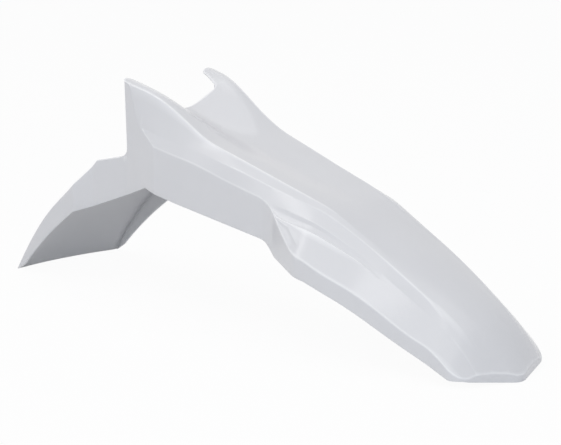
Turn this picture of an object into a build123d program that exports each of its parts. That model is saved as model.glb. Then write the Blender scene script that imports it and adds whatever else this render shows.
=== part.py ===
from build123d import *
import os
from collections import namedtuple
from math import cos, hypot, radians, sin, tan

# One-piece moulded front mudguard for an off-road motorcycle, standing on its nose and tail edges.
# X runs forward to the nose, Y to the rider's left, Z up. Millimetres. The sizes are given in the
# frame of the drawing, and the finished part is set down on the floor at the end.

# Wall of the moulding
wall = 2.5

# Plan outline, as half widths at places along the length
nose_tip_x = 376.5
nose_tip_radius = 25.0
nose_corner_x = 347.5
nose_corner_y = 71.5
nose_corner_radius = 26.0
blade_x = 306.0
blade_y = 73.8
blade_radius = 120.0
pod_front_x = 175.0
pod_front_y = 97.2
pod_front_radius = 250.0
pod_x = 134.0
pod_y = 99.3
pod_radius = 30.0
flare_x = 64.0
flare_y = 70.6
flare_radius = 70.0
fork_x = -116.0
fork_y = 82.0
fork_radius = 8.0
waist_front_x = -177.0
waist_front_y = 71.0
waist_front_radius = 60.0
waist_rear_x = -238.0
waist_rear_y = 73.5
waist_rear_radius = 12.0
kink_x = -262.0
kink_y = 86.0
kink_radius = 6.0
tail_x = -382.0
tail_y = 81.0

# Top surface at stations along the length: the middle of the section, then the ridge, the brow
# below it and the outer crease as half width and height, the fall of the panel outside the crease,
# the depth of the groove along the foot of the crease, and the lift of the strip inside the ridge
# that turns it into a flat flange
Station = namedtuple("Station", "x middle ridge_y ridge_z brow_y brow_z crease_y crease_z fall groove lift")
neck_stations = [
    Station(-203.0, 239.0, 75.0, 262.5, 80.0, 225.0, 88.0, 207.0, 1.40, 0.0, 3.5),
    Station(-165.0, 226.5, 72.0, 255.4, 77.2, 214.0, 85.3, 198.5, 1.40, 0.0, 3.0),
    Station(-127.0, 215.0, 64.7, 243.6, 75.7, 204.5, 83.2, 190.3, 1.40, 0.0, 1.8),
    Station(-89.0, 204.0, 59.4, 223.6, 72.8, 196.8, 81.0, 182.7, 1.40, 0.0, 0.5),
    Station(-51.0, 194.5, 58.0, 203.8, 69.2, 190.0, 79.0, 175.5, 1.40, 0.0, 0.0),
    Station(-13.0, 185.5, 55.8, 192.0, 66.7, 182.0, 76.3, 166.0, 1.36, 0.0, 0.0),
    Station(25.0, 175.8, 53.3, 181.3, 63.5, 173.0, 73.5, 157.5, 1.30, 0.0, 0.0),
    Station(63.0, 166.0, 51.0, 170.5, 60.3, 163.3, 71.0, 149.8, 1.22, 0.0, 0.0),
    Station(101.0, 157.3, 49.0, 160.0, 57.5, 154.5, 69.0, 142.3, 1.14, 2.4, 0.0),
    Station(139.0, 148.7, 46.0, 148.7, 54.0, 145.5, 66.3, 134.5, 0.95, 2.4, 0.0),
]
blade_stations = [
    neck_stations[-1],
    Station(189.0, 128.0, 42.8, 124.6, 50.0, 122.6, 61.3, 113.5, 0.86, 1.2, 0.0),
    Station(239.0, 105.5, 41.4, 99.8, 48.4, 97.9, 58.3, 87.4, 0.87, 0.0, 0.0),
    Station(289.0, 79.2, 38.2, 72.8, 45.4, 70.1, 54.0, 60.3, 1.00, 0.0, 0.0),
    Station(339.0, 43.2, 34.0, 36.2, 41.0, 33.0, 51.2, 26.4, 0.92, 0.0, 0.0),
    Station(389.0, -20.0, 27.0, -30.0, 34.0, -35.0, 44.0, -41.5, 0.75, 0.0, 0.0),
]
valley_share = 0.62
crown_share = 0.25
flange_place = 0.86
valley_flange_share = 0.934
crown_flange_share = 0.762
groove_offset = 0.8
groove_width = 4.2

# Clamp recess between the horns: the pad that the fork clamp seats on, the wall in front of it,
# and the cut that leaves a finger of flange along the top of each horn
pad_x = -184.5
pad_z = 168.0
pad_tilt = 12.7
pad_rear_x = -231.0
bulkhead_x = -152.0
bulkhead_z = 221.0
lip_x = -142.5
lip_z = 244.5
finger_front_y = 42.0
finger_x = -170.0
finger_y = 50.5
finger_radius = 12.0
finger_tip_x = -180.0
finger_tip_y = 52.5
finger_end_y = 67.0
finger_tip_radius = 7.0
finger_side_x = -170.0
finger_side_y = 76.5
finger_side_radius = 0.5
mouth_z = 212.0
horn_edge_low_x = -175.5
horn_edge_top_x = -186.5
horn_edge_top_z = 262.0
horn_foot_radius = 10.0

# Tail behind the pad, as the height of its edge and the rise of its middle at stations
TailStation = namedtuple("TailStation", "x edge_z crown")
tail_stations = [
    TailStation(pad_rear_x, pad_z + tan(radians(pad_tilt)) * (pad_rear_x - pad_x), 0.0),
    TailStation(-261.5, 126.3, 4.5),
    TailStation(-292.0, 102.0, 7.5),
    TailStation(-322.5, 75.5, 9.0),
    TailStation(-353.0, 41.2, 10.0),
    TailStation(-383.5, -0.5, 11.0),
    TailStation(-414.0, -49.0, 12.0),
]
tail_inset_tilt = 45.0

# Lower edge, as seen from the side
nose_edge_x = 336.0
nose_beak_x = 349.0
nose_droop = 0.28
blade_edge_x = 264.0
blade_edge_z = 31.0
pod_front_edge_x = 199.0
pod_front_edge_z = 60.6
pod_edge_x = 150.0
pod_edge_z = 77.0
pod_step_x = 80.5
pod_step_z = 90.4
pod_step_radius = 14.0
flare_edge_x = 59.9
flare_edge_z = 104.5
flare_edge_radius = 25.0
fork_edge_x = -83.0
fork_edge_z = 127.3
fork_edge_radius = 200.0
notch_x = -136.6
notch_z = 137.6
notch_radius = 4.0
kink_edge_x = -265.0
kink_edge_z = 90.5
tail_bow_x = -320.4
tail_bow_z = 50.7
tail_edge_x = -366.0
tail_edge_z = 9.0
tail_foot_x = -380.0

# Clamp bolts, a square of four holes, each with a round boss under the pad
bolt_spacing = 46.0
bolt_hole_radius = 4.5
bolt_boss_radius = 10.0
bolt_boss_height = 3.0
bolt_x = -191.0

# Angle that brings the nose and the tail level with the floor
rest_pitch = 0.54

# Reach of the construction solids past the part
side_reach = 130.0
low_reach = -210.0
top_reach = 330.0
end_reach = 60.0


def inset_chain(chain, depth):
    """Move each (y, z) point of a chain that runs in +Y inwards by depth."""
    last = len(chain) - 1
    moved = []
    for i, (y, z) in enumerate(chain):
        normals = []
        for first in (i - 1, i):
            a, b = chain[min(max(first, 0), last - 1)], chain[min(max(first, 0), last - 1) + 1]
            length = hypot(b[0] - a[0], b[1] - a[1])
            normals.append(((a[1] - b[1]) / length, (b[0] - a[0]) / length))
        (y0, z0), (y1, z1) = normals
        shift = depth / (1 + y0 * y1 + z0 * z1)
        moved.append((y - shift * (y0 + y1), z - shift * (z0 + z1)))
    return moved


def top_section(station, depth):
    """Closed section of the neck or blade, with its top set in by depth."""
    s = station
    rise = s.ridge_z - s.middle
    share = valley_share if rise > 0 else crown_share
    flange_share = valley_flange_share if rise > 0 else crown_flange_share

    def panel(out):
        return s.crease_y + out, s.crease_z - s.fall * out

    groove_y, groove_z = panel(groove_offset)
    half = [
        (s.ridge_y / 2, s.middle + share * rise),
        (s.ridge_y * flange_place, s.middle + flange_share * rise + s.lift),
        (s.ridge_y, s.ridge_z),
        (s.brow_y, s.brow_z),
        (s.crease_y, s.crease_z),
        (groove_y, groove_z - s.groove),
        panel(groove_width),
        panel(side_reach - s.crease_y),
    ]
    chain = [(-y, z) for y, z in reversed(half)] + [(0.0, s.middle)] + half
    points = [(s.x, y, z) for y, z in inset_chain(chain, depth)]
    ridge = half.index((s.ridge_y, s.ridge_z))
    left = len(half) - 1 - ridge
    right = len(half) + 1 + ridge
    crown = Spline(*points[left : right + 1])
    base = [(s.x, side_reach, low_reach), (s.x, -side_reach, low_reach)]
    sides = Polyline(*points[right:], *base, *points[: left + 1])
    return Face(Wire([crown, *sides.edges()]))


def top_body(depth):
    """Everything under the top surface, set in by depth square to its lengthwise slope."""
    stations = neck_stations + blade_stations[1:]
    sections = []
    for i, station in enumerate(stations):
        rear = stations[max(i - 1, 0)]
        front = stations[min(i + 1, len(stations) - 1)]
        slope = (front.middle - rear.middle) / (front.x - rear.x)
        sections.append(top_section(station, depth * hypot(1, slope)))
    split = len(neck_stations)
    return loft(sections[:split]) + loft(sections[split - 1 :])


def tail_section(station):
    """Closed section of the tail under its crowned skin."""
    s = station
    edge_z = s.edge_z + s.crown - s.crown * (side_reach / tail_y) ** 2
    left = (s.x, -side_reach, edge_z)
    right = (s.x, side_reach, edge_z)
    skin = Spline(left, (s.x, 0, s.edge_z + s.crown), right)
    sides = Polyline(right, (s.x, side_reach, low_reach), (s.x, -side_reach, low_reach), left)
    return Face(Wire([skin, *sides.edges()]))


def side_solid(edges):
    """Solid with an outline drawn in the side view, through the whole width."""
    return extrude(Face(Plane.XZ * Wire(edges)), side_reach + end_reach, both=True)


def side_prism(*points):
    return side_solid(Polyline(*points, close=True).edges())


def mirrored(half):
    """The edges of the left half of a plan outline, with those of its right half."""
    return [*half, *[edge.mirror(Plane.XZ) for edge in half]]


def plan_outline():
    """Plan outline of the whole guard, run past the end of the tail."""
    taper = (kink_y - tail_y) / (kink_x - tail_x)
    tail_end = (tail_x - end_reach, tail_y - taper * end_reach)
    shoulder = ((nose_corner_x + blade_x) / 2, (nose_corner_y + blade_y) / 2)
    nose = FilletPolyline(
        (shoulder[0], -shoulder[1]),
        (nose_corner_x, -nose_corner_y),
        (nose_tip_x, 0),
        (nose_corner_x, nose_corner_y),
        shoulder,
        radius=[nose_corner_radius, nose_tip_radius, nose_corner_radius],
    )
    side = FilletPolyline(
        shoulder,
        (blade_x, blade_y),
        (pod_front_x, pod_front_y),
        (pod_x, pod_y),
        (flare_x, flare_y),
        (fork_x, fork_y),
        (waist_front_x, waist_front_y),
        (waist_rear_x, waist_rear_y),
        (kink_x, kink_y),
        tail_end,
        radius=[
            blade_radius,
            pod_front_radius,
            pod_radius,
            flare_radius,
            fork_radius,
            waist_front_radius,
            waist_rear_radius,
            kink_radius,
        ],
    )
    rear = Line(tail_end, (tail_end[0], -tail_end[1]))
    return Face(Wire([*nose.edges(), *mirrored(side.edges()), rear]))


def through(outline):
    """Solid with a plan outline, through the whole height."""
    return extrude(outline, top_reach - low_reach, both=True)


def pad_line(x):
    """Point on the pad's top in the side view."""
    return x, pad_z + tan(radians(pad_tilt)) * (x - pad_x)


def pad_plane(depth):
    """Plane of the pad's top at the middle of the clamp bolts, lowered by depth."""
    tilt = radians(pad_tilt)
    x, z = pad_line(bolt_x)
    plane = Plane(origin=(x, 0, z), x_dir=(cos(tilt), 0, sin(tilt)), z_dir=(-sin(tilt), 0, cos(tilt)))
    return plane.offset(-depth)


def mouth_line(x):
    """Point on the bottom of the opening between the fingers, in the side view."""
    return x, mouth_z


def clamp_space(low):
    """Space behind the bulkhead and over a line in the side view, through the whole width."""
    back_x = pad_rear_x - end_reach
    return side_prism(
        low(bulkhead_x),
        (bulkhead_x, bulkhead_z),
        (lip_x, lip_z),
        (lip_x, top_reach),
        (back_x, top_reach),
        low(back_x),
    )


def around_fingers():
    """Plan outline of the opening between the fingers of the two horns and behind their tips."""
    back_x = pad_rear_x - end_reach
    half = FilletPolyline(
        (lip_x, 0),
        (lip_x, finger_front_y),
        (finger_x, finger_y),
        (finger_tip_x, finger_tip_y),
        (horn_edge_top_x, finger_end_y),
        (finger_side_x, finger_side_y),
        (finger_side_x, side_reach),
        (back_x, side_reach),
        radius=[
            finger_radius,
            finger_radius,
            finger_tip_radius,
            finger_tip_radius,
            finger_side_radius,
            finger_side_radius,
        ],
    )
    rear = Line((back_x, side_reach), (back_x, -side_reach))
    return Face(Wire([*mirrored(half.edges()), rear]))


def behind_horns():
    """Space behind the rear edges of the horns, over the pad."""
    back_x = pad_rear_x - end_reach
    low_x, low_z = pad_line(horn_edge_low_x)
    lean = (horn_edge_top_x - low_x) / (horn_edge_top_z - low_z)
    over = (low_x + lean * (top_reach - low_z), top_reach)
    path = FilletPolyline(pad_line(back_x), (low_x, low_z), over, radius=horn_foot_radius)
    close = Polyline(over, (back_x, top_reach), pad_line(back_x))
    return side_solid([*path.edges(), *close.edges()])


def under_edge():
    """Space under the lower edge, as seen from the side."""
    start = (nose_edge_x, 0)
    middle = (pod_edge_x, pod_edge_z)
    kink = (kink_edge_x, kink_edge_z)
    tail = (tail_edge_x, tail_edge_z)
    front = Spline(start, (blade_edge_x, blade_edge_z), (pod_front_edge_x, pod_front_edge_z), middle)
    neck = FilletPolyline(
        middle,
        (pod_step_x, pod_step_z),
        (flare_edge_x, flare_edge_z),
        (fork_edge_x, fork_edge_z),
        (notch_x, notch_z),
        kink,
        radius=[pod_step_radius, flare_edge_radius, fork_edge_radius, notch_radius],
    )
    rear = ThreePointArc(kink, (tail_bow_x, tail_bow_z), tail)
    end_x = tail_foot_x - end_reach
    tip_x = nose_tip_x + end_reach
    tip_z = -nose_droop * (tip_x - nose_beak_x)
    close = Polyline(
        tail,
        (tail_foot_x, 0),
        (end_x, 0),
        (end_x, low_reach),
        (tip_x, low_reach),
        (tip_x, tip_z),
        (nose_beak_x, 0),
        start,
    )
    return side_solid([front, *neck.edges(), rear, *close.edges()])


def mudguard():
    tail = loft([tail_section(s) for s in tail_stations])
    space = clamp_space(pad_line)
    mouth = clamp_space(mouth_line)
    ahead_x = bulkhead_x + wall
    pad = side_prism(pad_line(pad_rear_x), pad_line(ahead_x), (ahead_x, low_reach), (pad_rear_x, low_reach))
    plan = plan_outline()

    outer = top_body(0) - (mouth & through(around_fingers())) - behind_horns()
    outer = (outer + pad + tail) & through(plan)

    ahead = side_prism(
        (ahead_x, low_reach),
        (ahead_x, bulkhead_z),
        (lip_x + wall, lip_z),
        (lip_x + wall, top_reach),
        (nose_tip_x + end_reach, top_reach),
        (nose_tip_x + end_reach, low_reach),
    )
    hollow = top_body(wall)
    tilt = radians(tail_inset_tilt)
    under = Pos(wall * sin(tilt), 0, -wall * cos(tilt)) * tail
    under += Pos(wall, 0, -wall) * pad
    inner = ((hollow & ahead) + (hollow & space) + under) & through(offset(plan, -wall))

    body = outer - inner - under_edge()
    bolts = GridLocations(bolt_spacing, bolt_spacing, 2, 2)
    upwards = (Align.CENTER, Align.CENTER, Align.MIN)
    stand = Cylinder(bolt_boss_radius, bolt_boss_height + wall / 2, align=upwards)
    body += pad_plane(wall + bolt_boss_height) * bolts * stand
    body -= pad_plane(0) * bolts * Cylinder(bolt_hole_radius, end_reach)
    body = Rot(0, -rest_pitch, 0) * body
    box = body.bounding_box()
    return Pos(-box.center().X, 0, -box.min.Z) * body


os.makedirs("parts", exist_ok=True)
export_step(mudguard(), "parts/mudguard.step")
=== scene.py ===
import math
import bmesh
import bpy
import numpy as np
from mathutils import Matrix, Vector


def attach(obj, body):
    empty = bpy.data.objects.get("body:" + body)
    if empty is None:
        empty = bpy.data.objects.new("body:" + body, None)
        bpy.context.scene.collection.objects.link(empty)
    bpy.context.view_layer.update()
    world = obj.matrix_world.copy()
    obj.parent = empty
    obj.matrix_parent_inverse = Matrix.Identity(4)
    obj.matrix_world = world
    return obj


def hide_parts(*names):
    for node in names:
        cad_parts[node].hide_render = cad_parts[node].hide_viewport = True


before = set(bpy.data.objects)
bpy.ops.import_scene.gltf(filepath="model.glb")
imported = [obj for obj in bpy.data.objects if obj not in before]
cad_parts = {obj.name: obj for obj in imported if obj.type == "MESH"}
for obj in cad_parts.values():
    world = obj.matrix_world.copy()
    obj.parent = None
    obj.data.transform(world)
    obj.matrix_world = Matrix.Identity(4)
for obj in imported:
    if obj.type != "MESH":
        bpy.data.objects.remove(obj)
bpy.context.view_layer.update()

print("stage: frame loaded")

# The mudguard in millimetres in the frame of its drawing: x forward, y to the rider's left, z up.
# Stations hold x, middle height, ridge y z, brow y z, crease y z, fall of the side panel, groove depth,
# lift of the flange strip inside the ridge.
guard = {
    "pitch": 0.54,
    "shift": (8.15058, 0, 3.68401),
    "wall": 2.5,
    "neck": [
        (-203, 239.0, 75.0, 262.5, 80.0, 225.0, 88.0, 207.0, 1.40, 0.0, 3.5),
        (-165, 226.5, 72.0, 255.4, 77.2, 214.0, 85.3, 198.5, 1.40, 0.0, 3.0),
        (-127, 215.0, 64.7, 243.6, 75.7, 204.5, 83.2, 190.3, 1.40, 0.0, 1.8),
        (-89, 204.0, 59.4, 223.6, 72.8, 196.8, 81.0, 182.7, 1.40, 0.0, 0.5),
        (-51, 194.5, 58.0, 203.8, 69.2, 190.0, 79.0, 175.5, 1.40, 0.0, 0.0),
        (-13, 185.5, 55.8, 192.0, 66.7, 182.0, 76.3, 166.0, 1.36, 0.0, 0.0),
        (25, 175.8, 53.3, 181.3, 63.5, 173.0, 73.5, 157.5, 1.30, 0.0, 0.0),
        (63, 166.0, 51.0, 170.5, 60.3, 163.3, 71.0, 149.8, 1.22, 0.0, 0.0),
        (101, 157.3, 49.0, 160.0, 57.5, 154.5, 69.0, 142.3, 1.14, 1.7, 0.0),
        (139, 148.7, 46.0, 148.7, 54.0, 145.5, 66.3, 134.5, 0.95, 1.7, 0.0),
    ],
    "blade": [
        (139, 148.7, 46.0, 148.7, 54.0, 145.5, 66.3, 134.5, 0.95, 1.7, 0.0),
        (189, 128.0, 42.8, 124.6, 50.0, 122.6, 61.3, 113.5, 0.86, 1.0, 0.0),
        (239, 105.5, 41.4, 99.8, 48.4, 97.9, 58.3, 87.4, 0.87, 0.0, 0.0),
        (289, 79.2, 38.2, 72.8, 45.4, 70.1, 54.0, 60.3, 1.00, 0.0, 0.0),
        (339, 43.2, 34.0, 36.2, 41.0, 33.0, 51.2, 26.4, 0.92, 0.0, 0.0),
        (389, -20.0, 27.0, -30.0, 34.0, -35.0, 44.0, -41.5, 0.75, 0.0, 0.0),
    ],
    "bend": 139.0,
    "bendRound": 12.0,
    "flangePlace": 0.86,
    "valleyShares": (0.62, 0.934),
    "crownShares": (0.25, 0.762),
    "ridgeRound": 1.3,
    "browRound": 1.3,
    "creaseRound": 0.9,
    "fadeFrom": 275.0,
    "fadeTo": 340.0,
    "fadeRound": 14.0,
    "grooveOffset": 2.4,
    "grooveWidth": 8.0,
    "grooveClosed": 5.2,
    "grooveRear": (70.0, 92.0),
    "grooveFront": (150.0, 225.0),
    "grooveWall": 1.0,
    "grooveRounds": (0.8, 0.6, 0.8),  # at its foot, its edge and the panel
    "panelReach": 140.0,
    "borderWidth": 8.0,
    "borderDepth": 1.3,
    "borderRear": (84.0, 96.0),
    "borderFront": (120.0, 134.0),
    "borderShares": (0.86, 0.6, 0.3),
    "borderLimit": 0.75,
    "borderFade": (140.0, 230.0),
    "plan": [
        (347.5, -71.5), (376.5, 0), (347.5, 71.5), (306, 73.8), (175, 97.2), (134, 99.3), (64, 70.6),
        (-116, 82), (-177, 71), (-238, 73.5), (-262, 86), (-442, 78.5),
    ],
    "planRadii": [25, 26, 120, 250, 30, 70, 8, 60, 12, 6],
    "edgeRound": 1.7,
    "rimRound": 0.8,
    "rimAngle": 55.0,
    "beakX": 349.0,
    "beakDroop": 0.28,
    "bladeEdge": [(336, 0), (264, 31.0), (199, 60.6), (150, 77)],
    "neckEdge": [(150, 77), (80.5, 90.4), (59.9, 104.5), (-83, 127.3), (-136.6, 137.6), (-265, 90.5)],
    "neckEdgeRadii": [14, 25, 200, 4],
    "tailEdge": [(-265, 90.5), (-320.4, 50.7), (-366, 9)],
    "tailFoot": (-380, 0),
    "finger": [(-142.5, 0), (-142.5, 42), (-170, 50.5), (-180, 52.5), (-186.5, 67), (-170, 76.5)],
    "fingerRadii": [12, 12, 7, 7],
    "bulkhead": (-152.0, 221.0),
    "lip": (-142.5, 244.5),
    "hornFootX": -175.5,
    "hornFootRound": 10.0,
    "pad": (-184.5, 168.0),
    "padTilt": 12.7,
    "padRearX": -231.0,
    "tail": [
        (-261.5, 126.3, 4.5), (-292, 102.0, 7.5), (-322.5, 75.5, 9.0), (-353, 41.2, 10.0),
        (-383.5, -0.5, 11.0), (-414, -49.0, 12.0),
    ],
    "tailHalf": 81.0,
    "boltX": -191.0,
    "boltSpacing": 46.0,
    "boltHole": 4.5,
    "bossRadius": 10.0,
    "bossHeight": 3.0,
}
bulkheadX, bulkheadZ = guard["bulkhead"]
footX = guard["hornFootX"]
millimetre = 0.001
tiny = 1e-9
toPart = (
    Matrix.Scale(millimetre, 4)
    @ Matrix.Translation(guard["shift"])
    @ Matrix.Rotation(-math.radians(guard["pitch"]), 4, "Y")
)


def cubicThrough(xs, ys):
    # natural cubic spline through the points, as a function of x
    xs, ys = np.asarray(xs, float), np.asarray(ys, float)
    count, step = len(xs), np.diff(xs)
    matrix, right = np.eye(count), np.zeros(count)
    for i in range(1, count - 1):
        matrix[i, i - 1 : i + 2] = step[i - 1], 2 * (step[i - 1] + step[i]), step[i]
        right[i] = 6 * ((ys[i + 1] - ys[i]) / step[i] - (ys[i] - ys[i - 1]) / step[i - 1])
    bend = np.linalg.solve(matrix, right)

    def value(x):
        i = np.clip(np.searchsorted(xs, x) - 1, 0, count - 2)
        a = (xs[i + 1] - x) / step[i]
        b = 1 - a
        curve = ((a**3 - a) * bend[i] + (b**3 - b) * bend[i + 1]) * step[i] ** 2 / 6
        return a * ys[i] + b * ys[i + 1] + curve

    return value


def roundedPath(points, radii, pieces=10):
    # open polyline with its inner corners rounded to the radii
    path = [np.array(points[0], float)]
    for i, radius in enumerate(radii, 1):
        before, corner, after = (np.array(p, float) for p in points[i - 1 : i + 2])
        u = (before - corner) / np.linalg.norm(before - corner)
        v = (after - corner) / np.linalg.norm(after - corner)
        half = math.acos(np.clip(u @ v, -1, 1)) / 2
        centre = corner + (u + v) / np.linalg.norm(u + v) * radius / math.sin(half)
        start = corner + u * radius / math.tan(half) - centre
        end = corner + v * radius / math.tan(half) - centre
        turn = math.pi - 2 * half
        for w in np.linspace(0, 1, pieces + 1):
            mixed = math.sin((1 - w) * turn) * start + math.sin(w * turn) * end
            path.append(centre + mixed / math.sin(turn))
    path.append(np.array(points[-1], float))
    return np.array(path)


def arcThrough(a, b, c, pieces=24):
    # points of the circle arc from a through b to c
    a, b, c = (np.array(p, float) for p in (a, b, c))
    centre = np.linalg.solve(2 * np.array([b - a, c - a]), np.array([b @ b - a @ a, c @ c - a @ a]))
    first, last = (math.atan2(*(p - centre)[::-1]) for p in (a, c))
    turn = (last - first + math.pi) % (2 * math.pi) - math.pi
    steps = first + turn * np.linspace(0, 1, pieces + 1)
    return centre + np.linalg.norm(a - centre) * np.stack([np.cos(steps), np.sin(steps)], 1)


cornerLimit = 0.48  # the most of a side that a soft corner takes


def roundCorner(before, corner, after, inner, outer, count):
    # points of a soft corner that starts and ends at the given reaches from it
    u, v = before - corner, after - corner
    start = corner + u * min(inner / (np.linalg.norm(u) + tiny), cornerLimit)
    end = corner + v * min(outer / (np.linalg.norm(v) + tiny), cornerLimit)
    w = np.linspace(0, 1, count)[:, None]
    return (1 - w) ** 2 * start + 2 * w * (1 - w) * corner + w**2 * end


def between(a, b, count):
    return a + (b - a) * np.linspace(0, 1, count + 2)[1:-1, None]


def smoothStep(x, low, high):
    w = min(max((x - low) / (high - low), 0.0), 1.0)
    return w * w * (3 - 2 * w)


def crossing(low, high, isBelow, rounds):
    # halves the span until it closes on the place where isBelow stops being true
    for _ in range(rounds):
        middle = (low + high) / 2
        if isBelow(middle):
            low = middle
        else:
            high = middle
    return (low + high) / 2


# Half plan outline from the nose tip round to the tail, and the lower edge in the side view
planSteps, fingerSteps, edgeSteps = 14, 12, 40
noseRun, tailRun = 100, 60  # how far the lower edge goes on past its ends
planFull = roundedPath(guard["plan"], guard["planRadii"], planSteps)
tipX = float(planFull[:, 0].max())
planHalf = np.vstack([[tipX, 0.0], planFull[planFull[:, 1] > tiny]])
planLength = np.concatenate([[0], np.cumsum(np.linalg.norm(np.diff(planHalf, axis=0), axis=1))])
cornerIndex = int(np.argmax(planHalf[:, 0] + planHalf[:, 1]))
fingerPath = roundedPath(guard["finger"], guard["fingerRadii"], fingerSteps)
# the path turns in the middle of its first rounded corner and again in the middle of its third
lipTurn = 1 + fingerSteps // 2
tipTurn = lipTurn + 2 * (fingerSteps + 1)
lipSide = fingerPath[: lipTurn + 1]
innerSide = fingerPath[lipTurn : tipTurn + 1]
endSide = fingerPath[tipTurn:]
mouthCorner = float(innerSide[0, 0])
bladeX, bladeZ = np.array(guard["bladeEdge"][::-1], float).T
bladeSteps = np.linspace(bladeX[-1], bladeX[0], edgeSteps)
lowPath = np.vstack(
    [
        [(guard["beakX"] + noseRun, -guard["beakDroop"] * noseRun), (guard["beakX"], 0)],
        np.stack([bladeSteps, cubicThrough(bladeX, bladeZ)(bladeSteps)], 1),
        roundedPath(guard["neckEdge"], guard["neckEdgeRadii"])[1:],
        arcThrough(*guard["tailEdge"])[1:],
        [guard["tailFoot"], (guard["tailFoot"][0] - tailRun, 0.0)],
    ]
)[::-1]


def planY(x):
    return float(np.interp(x, planHalf[::-1, 0], planHalf[::-1, 1]))


def planAt(length):
    return tuple(float(np.interp(length, planLength, planHalf[:, k])) for k in (0, 1))


def lowZ(x):
    return float(np.interp(x, lowPath[:, 0], lowPath[:, 1]))


def padLine(x):
    return guard["pad"][1] + math.tan(math.radians(guard["padTilt"])) * (x - guard["pad"][0])


neckCurves, bladeCurves = (
    [cubicThrough(np.array(rows)[:, 0], column) for column in np.array(rows).T[1:]]
    for rows in (guard["neck"], guard["blade"])
)
# points of a section: over the crown, in a soft corner, in the groove's corners and in its outer edge
crownCount, cornerCount, grooveCount, ledgeCount = 32, 5, 3, 4
upperBand, lowerBand, grooveFloor = 2, 3, 1  # points between the corners
ridgeLead = 1.1  # carries the crown's last step on, so that the soft ridge starts where the crown ends
splitColumn, splitFrom = 21, -85.0  # this line leaves its even place behind this x
bendSamples = 9


def sizesAt(x):
    curves = neckCurves if x <= guard["bend"] else bladeCurves
    return [float(curve(x)) for curve in curves]


def stationAt(x):
    # sizes of the section at x, with the bend between neck and blade softened lengthwise
    reach = guard["bendRound"]
    if abs(x - guard["bend"]) > reach:
        return np.array(sizesAt(x))
    near = x + reach * np.linspace(-1, 1, bendSamples)
    return np.mean([sizesAt(q) for q in near], axis=0)


def columnShares(x, ridgeY, last):
    # shares of the ridge's half width for the crown's lines
    # one of them, the split line, runs along the finger's inner side
    regular = last * splitColumn / (crownCount - 1)
    inner = float(np.interp(-min(x, mouthCorner), -innerSide[:, 0], innerSide[:, 1])) / ridgeY
    split = regular + (inner - regular) * smoothStep(-x, -splitFrom, -mouthCorner)
    inside = np.linspace(0, split, splitColumn + 1)
    outside = np.linspace(split, last, crownCount - splitColumn)[1:]
    return np.concatenate([inside, outside])


def crownShape(half, strip, ridge):
    # natural spline over the crown, as shares of the rise at its half, its flange strip and its ridge
    strap = guard["flangePlace"]
    return cubicThrough([-1, -strap, -0.5, 0, 0.5, strap, 1], [ridge, strip, half, 0, half, strip, ridge])


valleyShape = crownShape(*guard["valleyShares"], 1)
domeShape = crownShape(*guard["crownShares"], 1)
liftShape = crownShape(0, 1, 0)


def chainAt(x):
    # half section of the top surface as points from the middle outwards, past the plan edge
    middle, ridgeY, ridgeZ, browY, browZ, creaseY, creaseZ, fall, groove, lift = stationAt(x)
    groove = max(groove, 0.0)
    fade = guard["fadeRound"] * smoothStep(x, guard["fadeFrom"], guard["fadeTo"])
    reach = guard["ridgeRound"] + fade
    t = columnShares(x, ridgeY, 1 - reach / ridgeY)
    dome = smoothStep(x, guard["bend"] - guard["bendRound"], guard["bend"] + guard["bendRound"])
    shape = valleyShape(t) * (1 - dome) + domeShape(t) * dome
    crown = np.stack([t * ridgeY, middle + (ridgeZ - middle) * shape + lift * liftShape(t)], 1)

    def panel(out, drop=0.0):
        return np.array([creaseY + out, creaseZ - fall * out - drop])

    ridge, brow, crease = np.array([ridgeY, ridgeZ]), np.array([browY, browZ]), panel(0)
    opened = smoothStep(x, *guard["grooveRear"]) * (1 - smoothStep(x, *guard["grooveFront"]))
    width = guard["grooveClosed"] + (guard["grooveWidth"] - guard["grooveClosed"]) * opened
    foot, step = panel(guard["grooveOffset"], groove), panel(width - guard["grooveWall"], groove)
    ledge, far = panel(width), panel(guard["panelReach"])
    lead = crown[-1] + (crown[-1] - ridge) * ridgeLead
    browReach, creaseReach = guard["browRound"] + fade, guard["creaseRound"]
    footRound, stepRound, panelRound = guard["grooveRounds"]
    atRidge = roundCorner(lead, ridge, brow, reach, reach, cornerCount)
    atBrow = roundCorner(ridge, brow, crease, browReach, browReach, cornerCount)
    atCrease = roundCorner(brow, crease, foot, creaseReach + fade, creaseReach, cornerCount)
    atFoot = roundCorner(crease, foot, step, footRound, footRound, grooveCount)
    atStep = roundCorner(foot, step, ledge, stepRound, stepRound, grooveCount)
    atLedge = roundCorner(step, ledge, far, stepRound, panelRound, ledgeCount)
    parts = [crown[:-1], atRidge, between(atRidge[-1], atBrow[0], upperBand), atBrow]
    parts += [between(atBrow[-1], atCrease[0], lowerBand), atCrease, atFoot]
    parts += [between(atFoot[-1], atStep[0], grooveFloor), atStep, atLedge, [far]]
    return np.vstack(parts)


def surfaceZ(x, y):
    chain = chainAt(x)
    return float(np.interp(y, chain[:, 0], chain[:, 1]))


chainCount = len(chainAt(0.0)) - 1
plainLines = 3  # lines of a side panel up to its border
panelCount = plainLines + len(guard["borderShares"]) + 1
topCount = chainCount + panelCount
lastLine, lastColumn = chainCount - 1, topCount - 1


def panelShare(column, x, width):
    # place of a side panel's line between its groove and its edge
    # two close lines follow the pod's rear border, and further forward the lines are even
    even = (column - lastLine) / panelCount
    rim = min(guard["borderWidth"] / max(width, tiny), guard["borderLimit"])
    places = [(1 - rim) * k / plainLines for k in range(plainLines)] + [1 - rim]
    places += [1 - rim * share for share in guard["borderShares"]] + [1]
    near = float(np.interp(even, np.linspace(0, 1, len(places)), places))
    return near + (even - near) * smoothStep(x, *guard["borderFade"])


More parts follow.
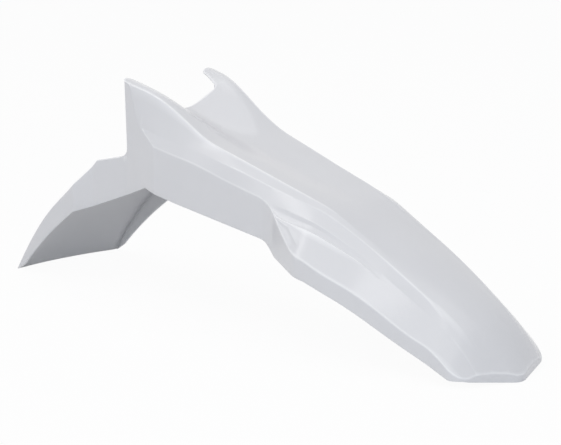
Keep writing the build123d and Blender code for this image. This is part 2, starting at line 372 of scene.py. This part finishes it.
def topPoint(x, column):
    # point of one lengthwise line of the top surface, held inside the plan outline
    chain = chainAt(x)
    edge = planY(x)
    inner = min(chain[min(column, lastLine), 0], edge)
    if column < chainCount:
        return inner, float(np.interp(inner, chain[:, 0], chain[:, 1]))
    y = inner + (edge - inner) * panelShare(column, x, edge - inner)
    border = smoothStep(x, *guard["borderRear"]) * (1 - smoothStep(x, *guard["borderFront"]))
    drop = guard["borderDepth"] * border if column - lastLine > plainLines else 0.0
    return y, float(np.interp(y, chain[:, 0], chain[:, 1])) - drop


def solveEnd(column, boundary, low, high):
    # where a lengthwise line meets an end boundary, which is given as x at a half width
    return crossing(low, high, lambda x: x < boundary(topPoint(x, column)[0]), rounds=30)


lipRounds, mouthSteps = 10, 91


def lipX(y):
    # rear edge of the top surface where it meets the leaning top of the bulkhead
    x = bulkheadX
    lean = (guard["lip"][0] - bulkheadX) / (guard["lip"][1] - bulkheadZ)
    for _ in range(lipRounds):
        x = min(max(bulkheadX + (surfaceZ(x, y) - bulkheadZ) * lean, bulkheadX), guard["lip"][0])
    return x


mouthY = np.linspace(0, float(lipSide[-1, 1]), mouthSteps)
mouthLine = np.minimum([lipX(y) for y in mouthY], np.interp(mouthY, lipSide[:, 1], lipSide[:, 0]))


def mouthX(y):
    return float(np.interp(y, mouthY, mouthLine))


def fingerX(y):
    return float(np.interp(y, endSide[:, 1], endSide[:, 0]))


def frontX(y):
    return float(np.interp(y, planHalf[: cornerIndex + 1, 1], planHalf[: cornerIndex + 1, 0]))


print("stage: outlines ready")

# Nose: the rows bow forward from a straight line across the blade to the front edge
noseStart, noseRows = 289.0, 28
noseEnd = [solveEnd(j, frontX, noseStart, tipX) for j in range(chainCount)]
endY = topPoint(noseEnd[lastLine], lastLine)[0]
endLength = float(np.interp(endY, planHalf[: cornerIndex + 1, 1], planLength[: cornerIndex + 1]))
cornerLength = planLength[cornerIndex]
flankStart = float(np.interp(-noseStart, -planHalf[cornerIndex:, 0], planLength[cornerIndex:]))


def nosePoint(column, s):
    if column < chainCount:
        x = noseStart + (noseEnd[column] - noseStart) * s
        return (x, *topPoint(x, column))
    w = (column - lastLine) / panelCount
    if column == lastColumn:
        x, y = planAt(flankStart + (cornerLength - flankStart) * s)
    else:
        endX, edgeY = planAt(endLength + (cornerLength - endLength) * w)
        startY = topPoint(noseStart, column)[0]
        x, y = noseStart + (endX - noseStart) * s, startY + (edgeY - startY) * s
    return x, y, surfaceZ(x, y)


rows = [[nosePoint(j, i / noseRows) for j in range(topCount)] for i in range(noseRows, 0, -1)]

# Blade and neck: straight rows, closer together at the bend and the pod
rearStart, rearRows, rearLimit = -95.0, 30, -160.0
straightRuns = [  # first x, last x and number of rows
    (noseStart, 152, 42), (150.5, 128, 16), (126, 60, 40), (57, -40, 32), (-42, rearStart, 28),
]
for x in np.concatenate([np.linspace(*run) for run in straightRuns]):
    rows.append([(x, *topPoint(x, j)) for j in range(topCount)])

# Rear of the neck: the rows bow back to the lip of the opening
rearEnd = [solveEnd(j, mouthX, rearLimit, rearStart) for j in range(splitColumn)]
rearEnd += [mouthCorner] * (topCount - splitColumn)
for s in np.linspace(0, 1, rearRows + 1)[1:]:
    places = [rearStart + (end - rearStart) * s for end in rearEnd]
    rows.append([(x, *topPoint(x, j)) for j, x in enumerate(places)])
rows = np.array(rows)

# Fingers: the rows go on outside the opening to the rounded end of the finger
fingerCount, fingerLimit = 28, -195.0
fingerEnd = [solveEnd(j, fingerX, fingerLimit, mouthCorner) for j in range(splitColumn, topCount)]
fingerRows = []
for s in np.linspace(0, 1, fingerCount + 1):
    places = [mouthCorner + (end - mouthCorner) * s for end in fingerEnd]
    fingerRows.append([(x, *topPoint(x, j)) for j, x in enumerate(places, splitColumn)])
fingerRows = np.array(fingerRows)
print("stage: top rows", rows.shape)

vertices, faces = [], []


def gridFaces(lines, width, start=0):
    cells = [start + i * width + j for i in range(lines - 1) for j in range(width - 1)]
    return [(a, a + 1, a + width + 1, a + width) for a in cells]


def addGrid(grid):
    faces.extend(gridFaces(len(grid), len(grid[0]), len(vertices)))
    for line in grid:
        vertices.extend(tuple(p) for p in line)


def softEdge(edge, inward, below, reach):
    # points of a rounded edge between the top surface and a wall
    return roundCorner(inward, edge, below, reach, reach, cornerCount)


# Side wall and nose lip, hung from the outer edge of the top surface by a rounded edge
wallCount, belt = 9, 5
beltShare = 0.4


def wallDown(top, bottomX, beltZ):
    # points from under an edge to the lower edge, upright below the belt
    heights = np.linspace(0, 1, wallCount - belt + 1)
    upper = [(top[0] + (bottomX - top[0]) * w, top[2] + (beltZ - top[2]) * w) for w in heights]
    lower = [(bottomX, beltZ + (lowZ(bottomX) - beltZ) * w) for w in np.linspace(0, 1, belt + 1)[1:]]
    return [np.array([x, planY(x), z]) for x, z in upper + lower]


def lipDown(top):
    low = np.array([top[0], top[1], lowZ(top[0])])
    return [top + (low - top) * w for w in np.linspace(0, 1, wallCount + 1)]


outline = []
for j in range(topCount):
    inward = rows[1, j] if j < lastColumn else rows[1, j - 1]
    outline.append((rows[0, j].copy(), inward.copy(), lipDown(rows[0, j])))
bands = [rows[i] for i in range(1, len(rows))] + [fingerRows[i] for i in range(1, len(fingerRows))]
for band in bands:
    edge = band[-1].copy()
    apart = np.linalg.norm(band - edge, axis=1) > 2 * guard["edgeRound"]
    inward = band[np.nonzero(apart)[0][-1]].copy()
    back = min(max((rearStart - edge[0]) / (rearStart - fingerEnd[-1]), 0.0), 1.0)
    bottomX = edge[0] if back == 0 else rearStart + (footX - rearStart) * back
    low = lowZ(bottomX)
    beltZ = low + (padLine(footX) - lowZ(footX)) * (beltShare + (1 - beltShare) * back)
    beltZ = min(beltZ, low + (edge[2] - low) * belt / wallCount) if back < 1 else padLine(footX)
    outline.append((edge, inward, wallDown(edge, bottomX, beltZ)))
strip = []
for k, (edge, inward, wall) in enumerate(outline):
    reach = guard["edgeRound"]
    soft = softEdge(edge, inward, wall[-1], reach)
    if k < topCount:
        rows[0, k] = soft[0]
    else:
        band = bands[k - topCount]
        band[np.linalg.norm(band - edge, axis=1) < reach] = soft[0]
        band[-1] = soft[0]
    drop = [p if p[2] < soft[-1][2] else soft[-1] for p in wall[1:]]
    strip.append([*soft, *drop])
fingerRows[0] = rows[-1, splitColumn:]
addGrid(rows)
addGrid(fingerRows)
addGrid(strip)

# Tail: the pad behind the horns, then the skin that drops to the floor, with its side wall
tailRows = np.array([(guard["padRearX"], padLine(guard["padRearX"]), 0.0)] + guard["tail"])
tailEdge, tailCrown = (cubicThrough(-tailRows[:, 0], tailRows[:, k]) for k in (1, 2))


def skinZ(x, y):
    if x >= guard["padRearX"]:
        return padLine(x)
    return float(tailEdge(-x)) + float(tailCrown(-x)) * (1 - (y / guard["tailHalf"]) ** 2)


tailStart, tailSpan, tailCount = -330.0, (-400.0, -340.0), 25


def tailEnd(share):
    # where a lengthwise line of the tail meets the floor
    return crossing(*tailSpan, lambda x: skinZ(x, share * planY(x)) < 0, rounds=40)


shares = np.linspace(0, 1, tailCount)
tailStops = np.array([tailEnd(w) for w in shares])
tailRuns = [  # first x, last x and number of rows
    (footX, -186, 7), (-188.5, -228, 16), (-229.5, -244, 13), (-246, -256, 5), (-257, -268, 11),
    (-270.5, tailStart, 24),
]
tailX = np.concatenate([np.linspace(*run) for run in tailRuns])
skinRows = [[(x, w * planY(x), skinZ(x, w * planY(x))) for w in shares] for x in tailX]
for s in np.linspace(0, 1, tailCount)[1:]:
    places = tailStart + (tailStops - tailStart) * s
    skinRows.append([(x, w * planY(x), max(skinZ(x, w * planY(x)), 0.0)) for x, w in zip(places, shares)])
skinRows = np.array(skinRows)
tailStrip = []
softFrom, softTo, leastSoft = 6, 16, 0.01  # the edge grows soft between these reaches behind the horns
for row in skinRows:
    edge = row[-1].copy()
    low = np.array([edge[0], edge[1], min(lowZ(edge[0]), edge[2])])
    reach = guard["edgeRound"] * smoothStep(-edge[0], -footX + softFrom, -footX + softTo) + leastSoft
    soft = softEdge(edge, row[-2], low, reach)
    row[-1] = soft[0]
    drop = [edge + (low - edge) * w for w in np.linspace(0, 1, belt + 1)[1:]]
    tailStrip.append([*soft, *[p if p[2] < soft[-1][2] else soft[-1] for p in drop]])
addGrid(skinRows)
addGrid(tailStrip)


def footRise(x):
    # the round where a horn's rear edge meets the pad
    radius = guard["hornFootRound"]
    reach = min(max(x - (footX - radius), 0.0), radius)
    return radius - math.sqrt(radius**2 - reach**2)


web = []
webCount = 9
for x in np.linspace(footX, footX - guard["hornFootRound"], webCount):
    web.append([(x, planY(x), padLine(x) + footRise(x)), (x, planY(x), padLine(x))])
addGrid(web)
print("stage: skin vertices", len(vertices))


weld = 0.00004  # points closer than this, in metres, become one


def meshFrom(name, points, polygons, mirror):
    # one object from points and faces, doubled over the mirror plane where asked
    points, polygons = np.array(points, float), list(polygons)
    if mirror:
        count = len(points)
        points = np.vstack([points, points * (1, -1, 1)])
        polygons += [tuple(i + count for i in face[::-1]) for face in polygons]
    mesh = bpy.data.meshes.new(name)
    mesh.from_pydata([tuple(toPart @ Vector(p)) for p in points], [], polygons)
    work = bmesh.new()
    work.from_mesh(mesh)
    bmesh.ops.remove_doubles(work, verts=work.verts, dist=weld)
    bmesh.ops.dissolve_degenerate(work, edges=work.edges, dist=weld)
    for face in work.faces:
        face.smooth = True
    work.to_mesh(mesh)
    work.free()
    made = bpy.data.objects.new(name, mesh)
    bpy.context.scene.collection.objects.link(made)
    return made


def thicken(piece):
    # the moulding's wall on the inner side, then softened rims
    shell = piece.modifiers.new("wall", "SOLIDIFY")
    shell.thickness = guard["wall"] * millimetre
    shell.offset = -1
    shell.use_even_offset = True
    shell.thickness_clamp = 1.0
    shell.material_offset = 1
    rims = piece.modifiers.new("rims", "BEVEL")
    rims.width = guard["rimRound"] * millimetre
    rims.segments = 2
    rims.limit_method = "ANGLE"
    rims.angle_limit = math.radians(guard["rimAngle"])


skin = meshFrom("mudguard", vertices, faces, True)
thicken(skin)

# Bulkhead in front of the clamp recess: upright, then leaning forward to the lip of the opening
sheet = []
sideSunk, topSunk, footSunk = 1.2, 0.8, 1  # depth of its edges in the walls that they meet
bulkheadColumns, uprightCount, leanShares = 40, 9, (0.4, 0.7, 1)
for y in np.linspace(0, planY(bulkheadX) - sideSunk, bulkheadColumns):
    endX = lipX(y)
    endZ = surfaceZ(endX, y) - topSunk
    low = np.array([bulkheadX, y, padLine(bulkheadX) - footSunk])
    knee = np.array([bulkheadX, y, min(bulkheadZ, endZ)])
    end = np.array([endX, y, endZ])
    turn = np.array([endX, y, min(endZ, guard["lip"][1])])
    upper = [knee + (turn - knee) * w for w in leanShares]
    sheet.append([low + (knee - low) * w for w in np.linspace(0, 1, uprightCount)] + upper + [end])
bulkhead = meshFrom("bulkhead", np.vstack(sheet), gridFaces(len(sheet), len(sheet[0])), True)
thicken(bulkhead)

# Pad between the horns, in front of the row where the tail skin starts
padRows = []
padLines = 10
for x in np.linspace(bulkheadX + footSunk, footX, padLines):
    padRows += [(x, w * (planY(x) - sideSunk), padLine(x)) for w in shares]
pad = meshFrom("pad", padRows, gridFaces(padLines, len(shares)), True)
thicken(pad)


def spokes(axis, pieces=40):
    # directions all round an axis
    across = Vector((axis.z, 0, -axis.x)).normalized()
    side = axis.cross(across)
    turns = [2 * math.pi * k / pieces for k in range(pieces)]
    return [across * math.cos(turn) + side * math.sin(turn) for turn in turns]


def ring(name, centre, axis, inner, outer, height):
    # ring with softened corners that hangs from its centre along the axis
    soft = 0.4
    profile = [(inner, 0.0), (outer, 0.0), (outer, soft - height), (outer - soft, -height)]
    profile += [(inner + soft, -height), (inner, soft - height)]
    points, polygons, count = [], [], len(profile)
    around = spokes(axis)
    for k, out in enumerate(around):
        points += [tuple(centre + out * r + axis * h) for r, h in profile]
        a, b = k * count, (k + 1) % len(around) * count
        for j in range(count):
            n = (j + 1) % count
            polygons.append((a + j, a + n, b + n, b + j))
    return meshFrom(name, points, polygons, False)


def plug(name, centre, axis, radius, height):
    # plain cylinder that hangs from its centre along the axis
    rim = [centre + out * radius for out in spokes(axis)]
    pieces = len(rim)
    points = [tuple(p) for p in rim] + [tuple(p - axis * height) for p in rim]
    polygons = [tuple(range(pieces)), tuple(range(2 * pieces - 1, pieces - 1, -1))]
    for k in range(pieces):
        n = (k + 1) % pieces
        polygons.append((k, pieces + k, pieces + n, n))
    return meshFrom(name, points, polygons, False)


tilt = math.radians(guard["padTilt"])
padAxis = Vector((-math.sin(tilt), 0, math.cos(tilt)))
padAlong = Vector((math.cos(tilt), 0, math.sin(tilt)))
boltMiddle = Vector((guard["boltX"], 0, padLine(guard["boltX"])))
half = guard["boltSpacing"] / 2
signs = (-1, 1)
boltPlaces = [boltMiddle + padAlong * half * a + Vector((0, half * b, 0)) for a in signs for b in signs]
sunk, cutterRise, cutterLength = 0.6, 5, 14
bossDepth = guard["wall"] + guard["bossHeight"] - sunk
bosses = [
    ring("boss", place - padAxis * sunk, padAxis, guard["boltHole"], guard["bossRadius"], bossDepth)
    for place in boltPlaces
]
cutters = [
    plug("cutter", place + padAxis * cutterRise, padAxis, guard["boltHole"], cutterLength)
    for place in boltPlaces
]
moulding = [skin, bulkhead, pad, *bosses]
print("stage: bosses", len(bosses))


def applied(piece):
    # turns the modifiers of a piece into plain mesh
    graph = bpy.context.evaluated_depsgraph_get()
    mesh = bpy.data.meshes.new_from_object(piece.evaluated_get(graph))
    piece.modifiers.clear()
    old, piece.data = piece.data, mesh
    bpy.data.meshes.remove(old)


class Value:
    # a shader socket with plain arithmetic
    def __init__(self, tree, socket=None):
        self.tree = tree
        self.socket = socket

    def node(self, kind, settings=None, outlet=0, **inputs):
        made = self.tree.nodes.new(kind)
        for key, value in (settings or {}).items():
            setattr(made, key, value)
        for key, value in inputs.items():
            inlet = made.inputs[int(key[1:])] if key[1:].isdigit() else made.inputs[key]
            if isinstance(value, Value):
                self.tree.links.new(value.socket, inlet)
            else:
                inlet.default_value = value
        return Value(self.tree, made.outputs[outlet])

    def maths(self, operation, a, b=0.0):
        return self.node("ShaderNodeMath", {"operation": operation}, i0=a, i1=b)

    def __add__(self, other):
        return self.maths("ADD", self, other)

    def __sub__(self, other):
        return self.maths("SUBTRACT", self, other)

    def __mul__(self, other):
        return self.maths("MULTIPLY", self, other)

    def __rsub__(self, other):
        return self.maths("SUBTRACT", other, self)

    __radd__ = __add__
    __rmul__ = __mul__


def plastic(name, look):
    # moulded plastic with faint mottling, a painted highlight that pales the upward-facing convex edges,
    # uneven gloss and a soft orange peel
    material = bpy.data.materials.new(name)
    material.use_nodes = True
    tree = material.node_tree
    shader = tree.nodes["Principled BSDF"]
    place = Value(tree).node("ShaderNodeTexCoord", None, "Object")
    cloud = place.node("ShaderNodeTexNoise", None, 0, Vector=place, Scale=look["cloudScale"], Detail=3.0)
    peel = place.node("ShaderNodeTexNoise", None, 0, Vector=place, Scale=look["peelScale"], Detail=2.0)
    shades = {"i0": cloud, "i6": look["shade"], "i7": look["colour"]}
    mottled = place.node("ShaderNodeMix", {"data_type": "RGBA"}, 2, **shades)
    # painted highlight mask: convex edges found by pointiness, times faces that look upward by the normal's
    # height
    bulge = place.node("ShaderNodeNewGeometry", None, "Pointiness")
    steps = {"Value": bulge, "From Min": look["highlightFrom"], "From Max": look["highlightTo"]}
    facing = place.node("ShaderNodeNewGeometry", None, "Normal")
    upward = place.node("ShaderNodeSeparateXYZ", None, "Z", Vector=facing)
    slopes = {"Value": upward, "From Min": look["highlightUpFrom"], "From Max": look["highlightUpTo"]}
    highlightOnEdge = place.node("ShaderNodeMapRange", None, 0, **steps)
    highlightOnTop = place.node("ShaderNodeMapRange", None, 0, **slopes)
    # painted highlight: where both masks hold, the base colour turns to the paler edge colour
    paintedHighlight = highlightOnEdge * highlightOnTop
    colour = place.node("ShaderNodeMix", {"data_type": "RGBA"}, 2, i0=paintedHighlight, i6=mottled, i7=look["edge"])
    rough = look["roughness"] + (cloud - 0.5) * look["roughnessSpread"]
    bumps = {"Strength": look["peelStrength"], "Distance": look["peelDepth"], "Height": peel}
    bump = place.node("ShaderNodeBump", None, 0, **bumps)
    tree.links.new(colour.socket, shader.inputs["Base Color"])
    tree.links.new(rough.socket, shader.inputs["Roughness"])
    tree.links.new(bump.socket, shader.inputs["Normal"])
    shader.inputs["IOR"].default_value = look["ior"]
    return material


gloss = {
    "colour": (0.80, 0.80, 0.815, 1), "shade": (0.76, 0.76, 0.777, 1), "cloudScale": 14.0,
    "roughness": 0.15, "roughnessSpread": 0.06, "ior": 1.48,
    "peelScale": 420.0, "peelStrength": 0.05, "peelDepth": 0.0003,
    # edge and its limits set the painted highlight along upward convex edges
    "edge": (0.94, 0.94, 0.95, 1), "highlightFrom": 0.5035, "highlightTo": 0.513, "highlightUpFrom": 0.05, "highlightUpTo": 0.45,
}
matt = {
    "colour": (0.76, 0.76, 0.77, 1), "shade": (0.72, 0.72, 0.732, 1), "cloudScale": 20.0,
    "roughness": 0.5, "roughnessSpread": 0.12, "ior": 1.48,
    "peelScale": 900.0, "peelStrength": 0.2, "peelDepth": 0.0003,
    # edge and its limits set the painted highlight along the inner side's upward convex edges
    "edge": (0.80, 0.80, 0.81, 1), "highlightFrom": 0.504, "highlightTo": 0.516, "highlightUpFrom": 0.05, "highlightUpTo": 0.45,
}
glossMaterial = plastic("gloss_white", gloss)
mattMaterial = plastic("matt_white_inside", matt)
for piece in moulding:
    piece.data.materials.append(glossMaterial)
    piece.data.materials.append(mattMaterial)
    applied(piece)

# The four bolt holes go through the pad, and all of the moulding becomes one piece
for target in (skin, pad):
    for cutter in cutters:
        hole = target.modifiers.new("hole", "BOOLEAN")
        hole.object = cutter
        hole.solver = "EXACT"
    applied(target)
for cutter in cutters:
    bpy.data.objects.remove(cutter)
with bpy.context.temp_override(active_object=skin, object=skin, selected_editable_objects=moulding):
    bpy.ops.object.join()
for vertex in skin.data.vertices:
    vertex.co.z = max(vertex.co.z, 0.0)  # the rims that stand on the floor end flat on it
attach(skin, "root")
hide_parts("mudguard")
print("stage: mudguard", len(skin.data.polygons), "faces")

# Camera, placed and aimed in the frame of the drawing
view = {
    "place": (1794.43, -1717.10, 633.49), "aim": (-0.70456, 0.67848, -0.20791), "lens": 141.18, "sensor": 36,
}
turned = toPart.to_3x3()
aim = (turned @ Vector(view["aim"])).normalized()
right = (turned @ Vector((view["aim"][1], -view["aim"][0], 0))).normalized()
up = right.cross(aim)
camera = bpy.data.objects.new("camera", bpy.data.cameras.new("camera"))
bpy.context.scene.collection.objects.link(camera)
axes = Matrix([[right[i], up[i], -aim[i]] for i in range(3)]).to_4x4()
camera.matrix_world = Matrix.Translation(toPart @ Vector(view["place"])) @ axes
camera.data.sensor_width = view["sensor"]
camera.data.lens = view["lens"]
bpy.context.scene.camera = camera

# Floor that reads white to the camera and keeps a soft shadow, three large soft lamps, two weak small ones
studio = {
    "floorColour": (0.90, 0.90, 0.90, 1), "floorRoughness": 0.9, "floorGlow": 0.95, "floorHalf": 9,
    "skyColour": (0.93, 0.945, 1.0, 1), "skyLevel": 0.45,
    "lamps": [
        # name, place, length and width, level, colour
        ("top", (-0.05, -0.40, 2.80), (3.6, 3.6), 32.0, (1.0, 0.99, 0.97)),
        ("side", (1.30, -2.15, 0.90), (1.4, 1.4), 10.5, (1.0, 0.99, 0.97)),
        ("over", (0.42, -0.80, 2.40), (0.45, 0.45), 1.4, (1.0, 0.99, 0.97)),
        ("brow", (-0.92, -1.04, 2.20), (0.16, 0.60), 1.0, (1.0, 0.99, 0.97)),
        ("front", (1.95, -1.55, 0.75), (1.6, 1.6), 3.0, (0.3, 0.65, 1.0)),
    ],
    "aim": (0.0, 0.0, 0.12),
}


def seenWhite(tree):
    # 1 for rays from the camera and for rays that gloss or glass pass on to it
    rays = ("Is Camera Ray", "Is Glossy Ray", "Is Transmission Ray")
    direct, glossy, through = (Value(tree).node("ShaderNodeLightPath", None, ray) for ray in rays)
    return direct.maths("MAXIMUM", direct.maths("MAXIMUM", direct, glossy), through)


floorMesh = bpy.data.meshes.new("floor")
wide = studio["floorHalf"]
floorCorners = [(-wide, -wide, 0), (wide, -wide, 0), (wide, wide, 0), (-wide, wide, 0)]
floorMesh.from_pydata(floorCorners, [], [(0, 1, 2, 3)])
floor = bpy.data.objects.new("floor", floorMesh)
bpy.context.scene.collection.objects.link(floor)
floorMaterial = bpy.data.materials.new("floor")
floorMaterial.use_nodes = True
floorTree = floorMaterial.node_tree
floorShader = floorTree.nodes["Principled BSDF"]
floorShader.inputs["Base Color"].default_value = studio["floorColour"]
floorShader.inputs["Roughness"].default_value = studio["floorRoughness"]
floorShader.inputs["Specular IOR Level"].default_value = 0.0
seen = seenWhite(floorTree)
glow = seen.node("ShaderNodeEmission", None, 0, Color=(1, 1, 1, 1), Strength=1.0)
plain = Value(floorTree, floorShader.outputs[0])
mixed = seen.node("ShaderNodeMixShader", None, 0, i0=seen * studio["floorGlow"], i1=plain, i2=glow)
floorTree.links.new(mixed.socket, floorTree.nodes["Material Output"].inputs["Surface"])
floorMesh.materials.append(floorMaterial)

for name, place, size, level, colour in studio["lamps"]:
    data = bpy.data.lights.new(name, "AREA")
    data.shape = "RECTANGLE"
    data.size, data.size_y = size
    data.energy = level
    data.color = colour
    lamp = bpy.data.objects.new(name, data)
    lamp.location = place
    away = (Vector(place) - Vector(studio["aim"])).normalized()
    along = Vector((1, 0, 0)) - away * away.x
    turn = Matrix([along.normalized(), away.cross(along).normalized(), away]).transposed()
    lamp.rotation_euler = turn.to_euler()
    bpy.context.scene.collection.objects.link(lamp)

world = bpy.data.worlds.new("studio")
bpy.context.scene.world = world
world.use_nodes = True
worldTree = world.node_tree
background = worldTree.nodes["Background"]
seen = seenWhite(worldTree)
level = seen + (1 - seen) * studio["skyLevel"]
sky = {"i0": seen, "i6": studio["skyColour"], "i7": (1, 1, 1, 1)}
skyColour = seen.node("ShaderNodeMix", {"data_type": "RGBA"}, 2, **sky)
worldTree.links.new(skyColour.socket, background.inputs["Color"])
worldTree.links.new(level.socket, background.inputs["Strength"])

bpy.context.scene.view_settings.view_transform = "Standard"
